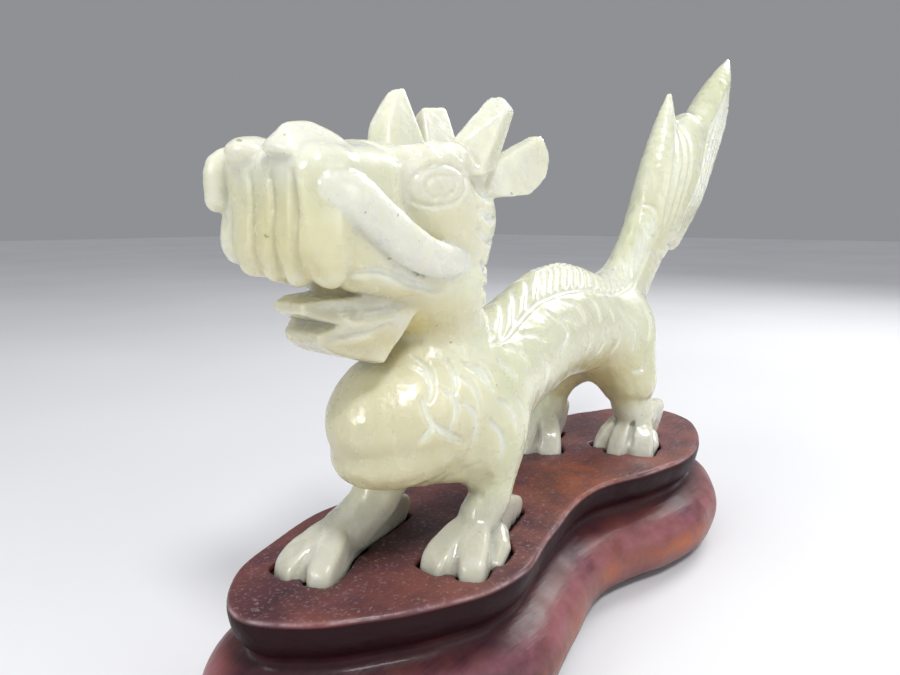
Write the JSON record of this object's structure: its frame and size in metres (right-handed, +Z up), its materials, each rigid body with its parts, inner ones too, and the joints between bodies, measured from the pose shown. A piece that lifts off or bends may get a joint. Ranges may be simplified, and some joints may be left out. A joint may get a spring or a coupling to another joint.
{
  "type": "dragon figurine",
  "caption": "Carved jade dragon standing with its head and tail raised, on a two-tier lobed wooden stand; the dragon lifts off the stand.",
  "frame": {"origin": "centre of the wooden stand's underside, on the table", "axes": "+Z up; +X along the stand towards the dragon's tail, so the dragon looks along -X; the dragon's left side is on -Y"},
  "size_m": [0.1194, 0.0404, 0.0912],
  "materials": {
    "jade": "gloss",
    "rosewood": "satin"
  },
  "bodies": {
    "stand": {"wooden_stand": "rosewood"},
    "dragon": {"jade_dragon": "jade"}
  },
  "joints": [
    {"name": "dragon_lift", "type": "slide", "parent": "stand", "child": "dragon", "axis": [0, 0, 1], "range_m": [0, 0.03]}
  ]
}
